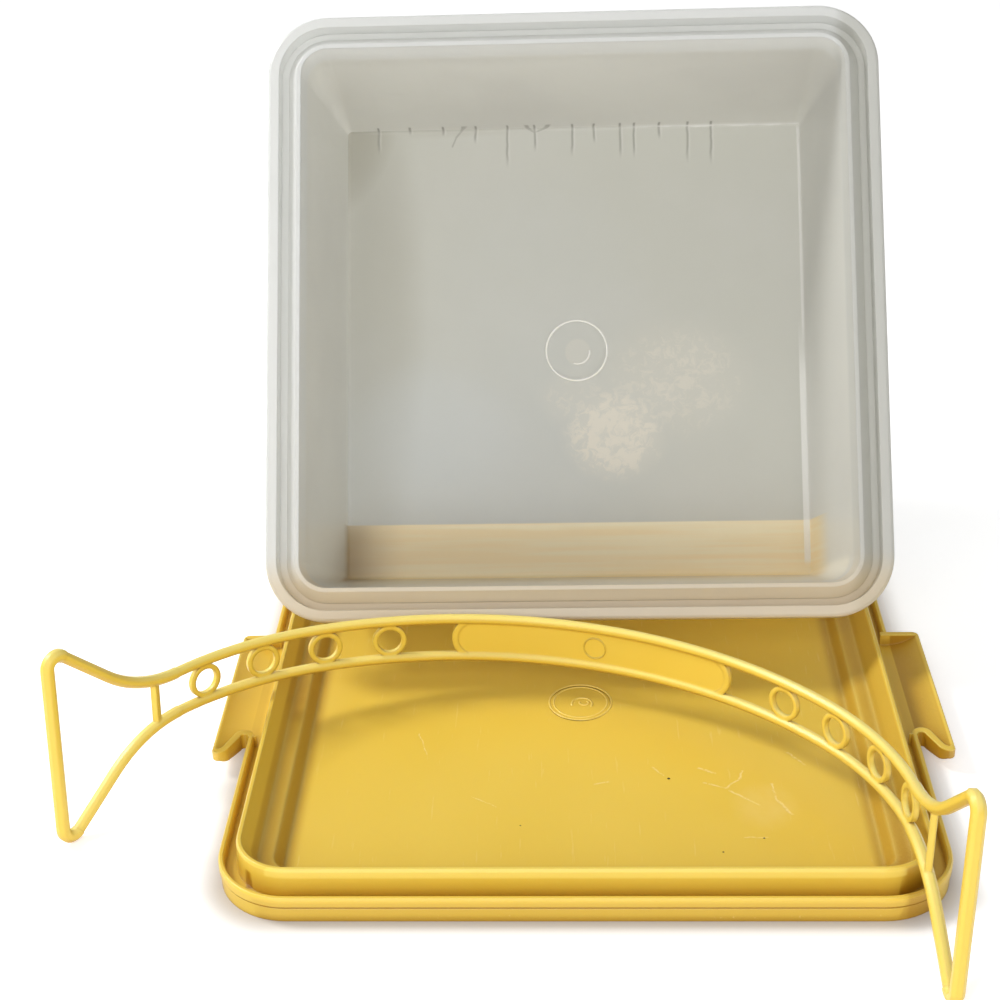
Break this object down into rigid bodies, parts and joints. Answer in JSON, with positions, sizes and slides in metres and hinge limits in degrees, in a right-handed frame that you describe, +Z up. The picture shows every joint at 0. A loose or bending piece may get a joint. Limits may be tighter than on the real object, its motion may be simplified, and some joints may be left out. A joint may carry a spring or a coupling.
{
  "type": "square cake carrier",
  "caption": "Square cake carrier with a shallow yellow tray, a deep translucent cover leaning behind it and a springy looped carrying handle lying across the tray.",
  "frame": {"origin": "centre of the tray's underside, on the table", "axes": "+Z up, +X to the right and +Y to the back as the tray is seen from its notched front"},
  "size_m": [0.3244, 0.379, 0.2378],
  "materials": {
    "tray_yellow": "satin moulded polyethylene, harvest yellow",
    "cover_translucent": "milky translucent polyethylene with wear",
    "handle_yellow": "satin flexible polyethylene, harvest yellow"
  },
  "bodies": {
    "tray": {"base_tray": "tray_yellow"},
    "cover": {"cover": "cover_translucent"},
    "handle": {"carry_handle": "handle_yellow"}
  },
  "joints": [
    {"name": "cover_lift", "type": "slide", "parent": "tray", "child": "cover", "axis": [0, 0, 1], "range_m": [0, 0.1]},
    {"name": "handle_lift", "type": "slide", "parent": "tray", "child": "handle", "axis": [0, 0, 1], "range_m": [0, 0.25]}
  ]
}
